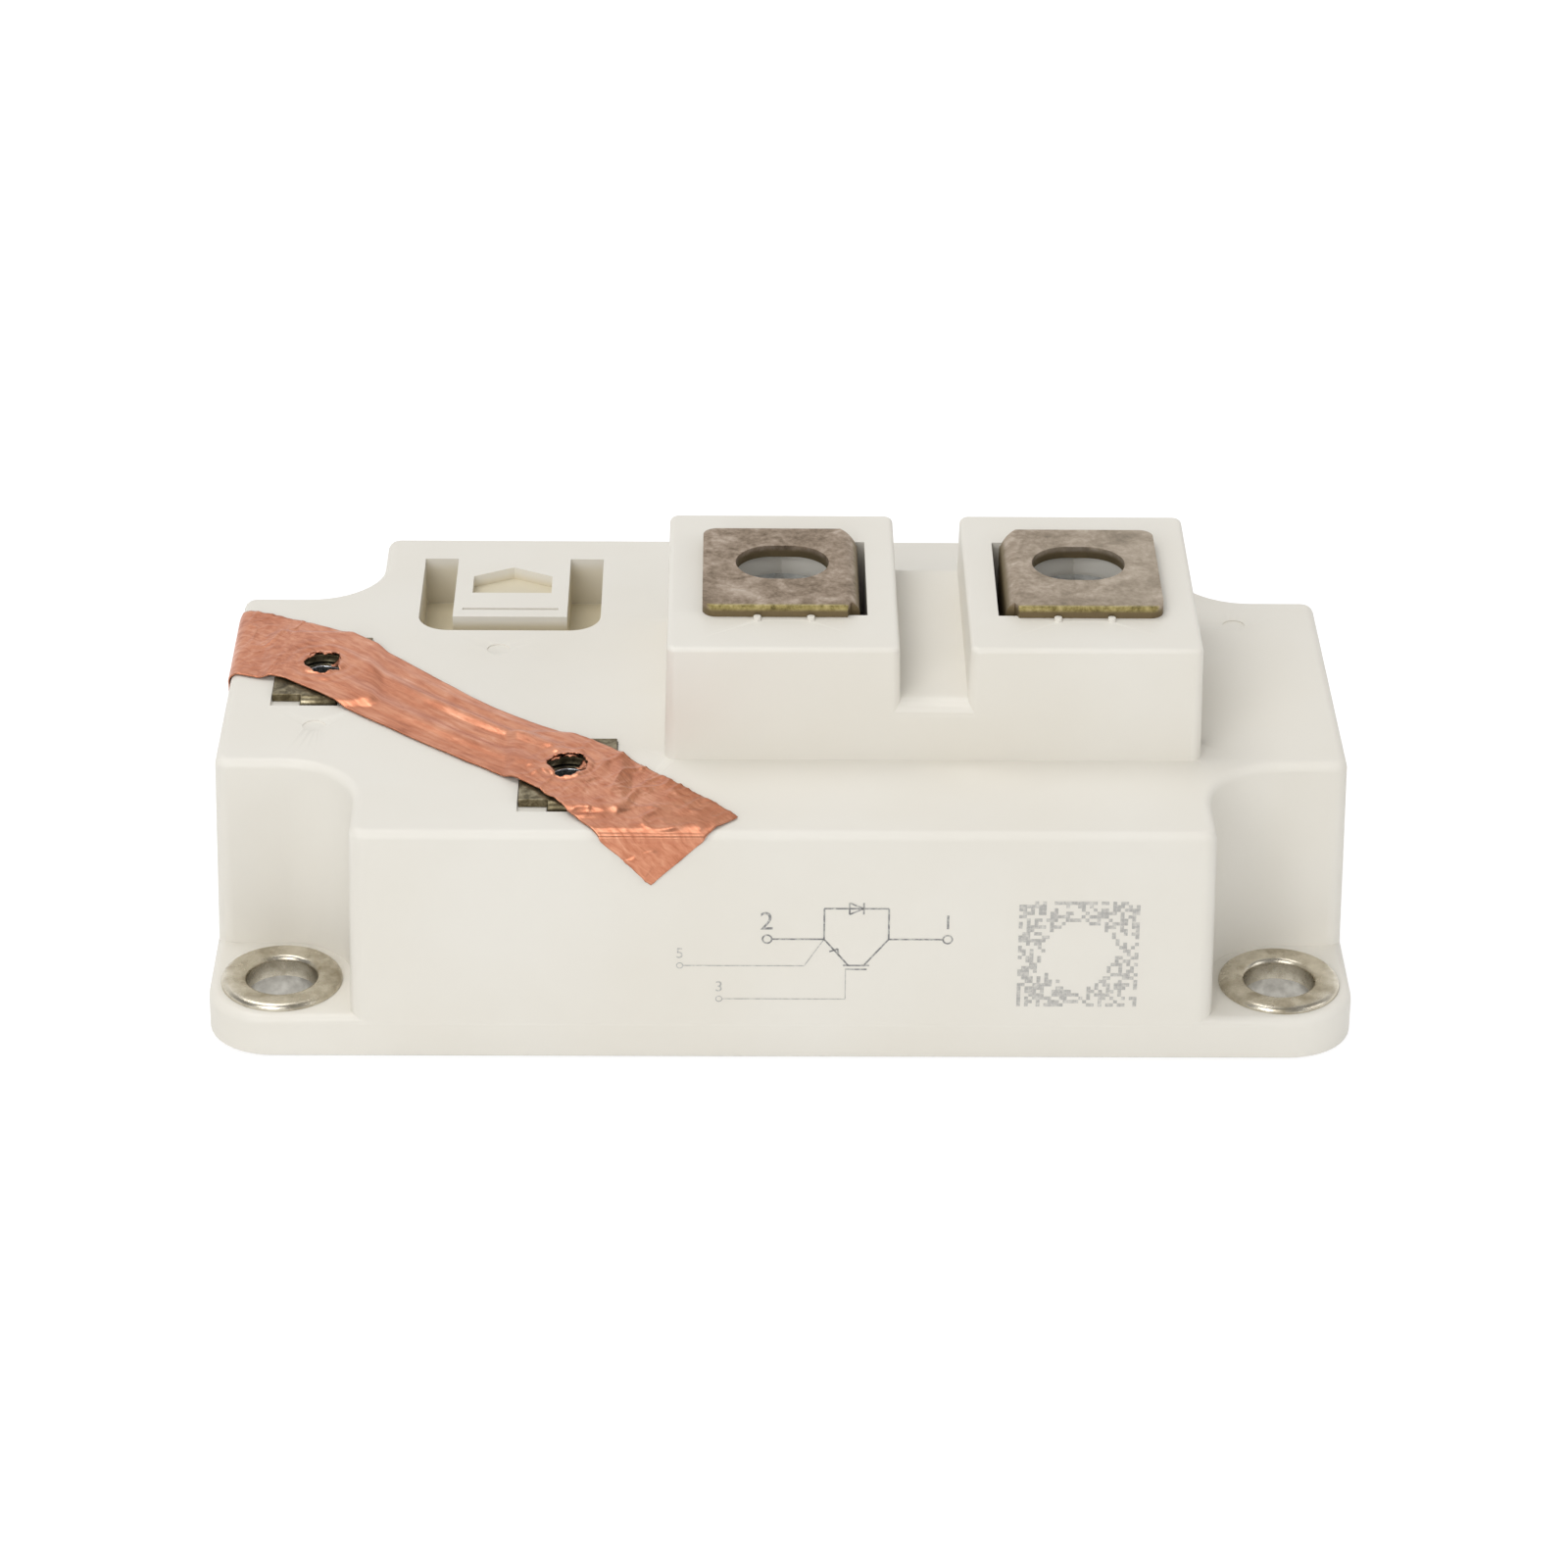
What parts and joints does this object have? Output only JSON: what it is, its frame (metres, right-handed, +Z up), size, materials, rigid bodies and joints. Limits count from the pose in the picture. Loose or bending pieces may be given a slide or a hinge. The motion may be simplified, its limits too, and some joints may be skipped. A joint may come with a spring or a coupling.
{
  "type": "igbt module",
  "caption": "Power semiconductor module: moulded housing on a flat metal baseplate with corner mounting bushes, raised screw terminals, small control terminals and a copper shorting foil.",
  "frame": {"origin": "middle of the baseplate's underside", "axes": "+X along the length towards the end with the terminal tower, +Y across the width to the back, +Z up from the baseplate"},
  "size_m": [0.1064, 0.0614, 0.0365],
  "materials": {
    "housing_plastic": "matt ivory moulding",
    "plated_copper": "satin nickel plating",
    "bush_metal": "satin nickel, slightly warm",
    "terminal_metal": "tarnished plating",
    "nut_zinc": "bright zinc",
    "control_bronze": "dull tarnished",
    "foil_copper": "satin copper foil, creased",
    "bare_copper": "satin copper",
    "ceramic_white": "matt",
    "silicon": "polished",
    "wire_aluminium": "satin",
    "resistor_body": "glazed",
    "gel": "clear soft gel"
  },
  "bodies": {
    "root": {"housing": "housing_plastic", "baseplate": "plated_copper", "bush_front_left": "bush_metal", "bush_front_right": "bush_metal", "bush_rear_left": "bush_metal", "bush_rear_right": "bush_metal", "emitter_terminal": "terminal_metal", "collector_terminal": "terminal_metal", "emitter_nut": "nut_zinc", "collector_nut": "nut_zinc", "gate_terminal": "control_bronze", "sense_terminal": "control_bronze", "gate_nut": "nut_zinc", "sense_nut": "nut_zinc", "shorting_foil": "foil_copper", "base_copper_left": "bare_copper", "base_copper_right": "bare_copper", "ceramic_left": "ceramic_white", "ceramic_right": "ceramic_white", "collector_track_left": "bare_copper", "collector_track_right": "bare_copper", "emitter_track_left": "bare_copper", "emitter_track_right": "bare_copper", "sense_track_left": "bare_copper", "sense_track_right": "bare_copper", "gate_track_left": "bare_copper", "gate_track_right": "bare_copper", "igbt_chips": "silicon", "diode_chips": "silicon", "emitter_wires": "wire_aluminium", "control_wires": "wire_aluminium", "gate_resistors": "resistor_body", "gate_link": "bare_copper", "sense_link": "bare_copper", "silicone_gel": "gel"}
  },
  "joints": []
}
